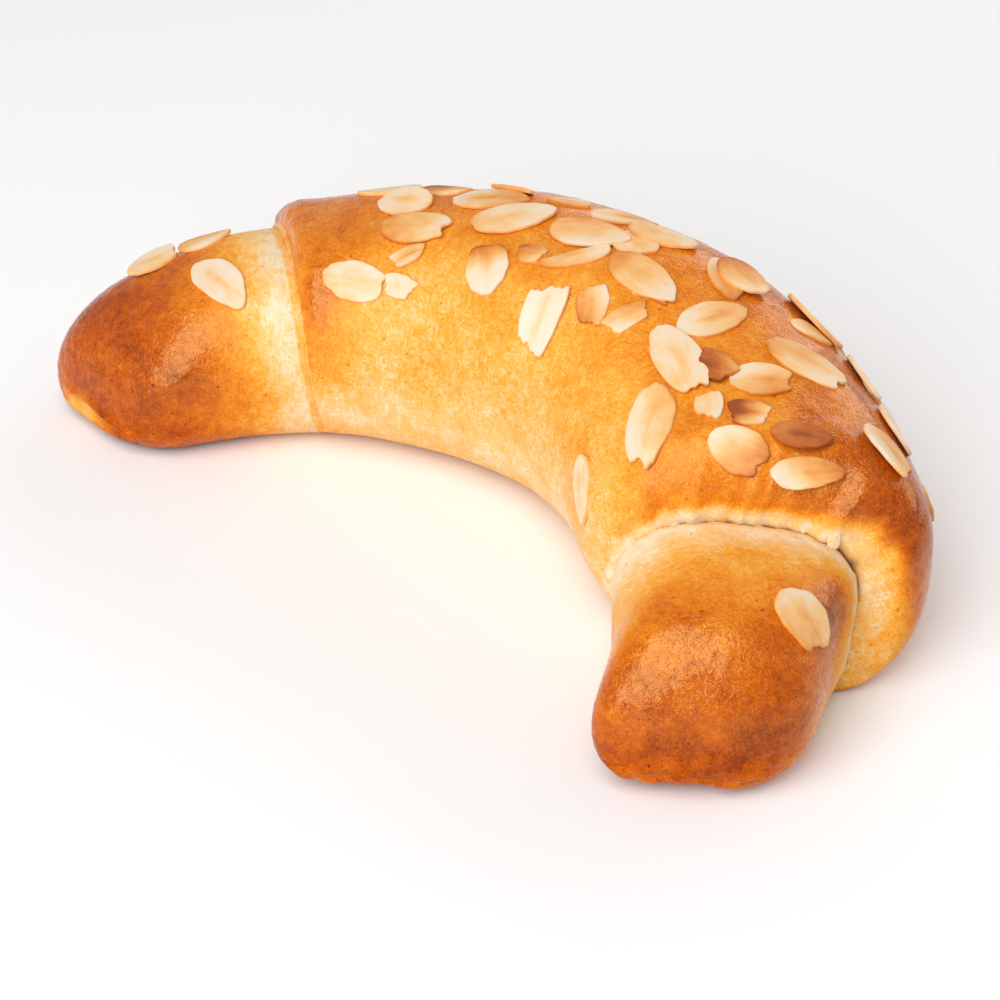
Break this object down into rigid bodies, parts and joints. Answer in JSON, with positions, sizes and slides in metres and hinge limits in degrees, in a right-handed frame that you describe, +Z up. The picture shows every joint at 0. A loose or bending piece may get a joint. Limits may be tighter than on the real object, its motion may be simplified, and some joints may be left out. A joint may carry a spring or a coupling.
{
  "type": "almond croissant",
  "caption": "Crescent-shaped sweet bun rolled from one sheet of dough, with a wrap over the middle, a horn at each end and flaked almonds baked onto its glossy crust.",
  "frame": {"origin": "centre of the bounding box in plan, on the flat base", "axes": "+X along the crescent from the rounder horn to the blunter horn, +Y towards the back of the curve, +Z up from the base"},
  "size_m": [0.1904, 0.1032, 0.0541],
  "materials": {
    "crust": "egg-washed baked crust, satin to glossy, orange-brown on the horns and back, golden to cream on the inner side",
    "almond": "dry flaked almond, cream with toasted tan edges"
  },
  "bodies": {
    "root": {"croissant": "crust"}
  },
  "joints": []
}
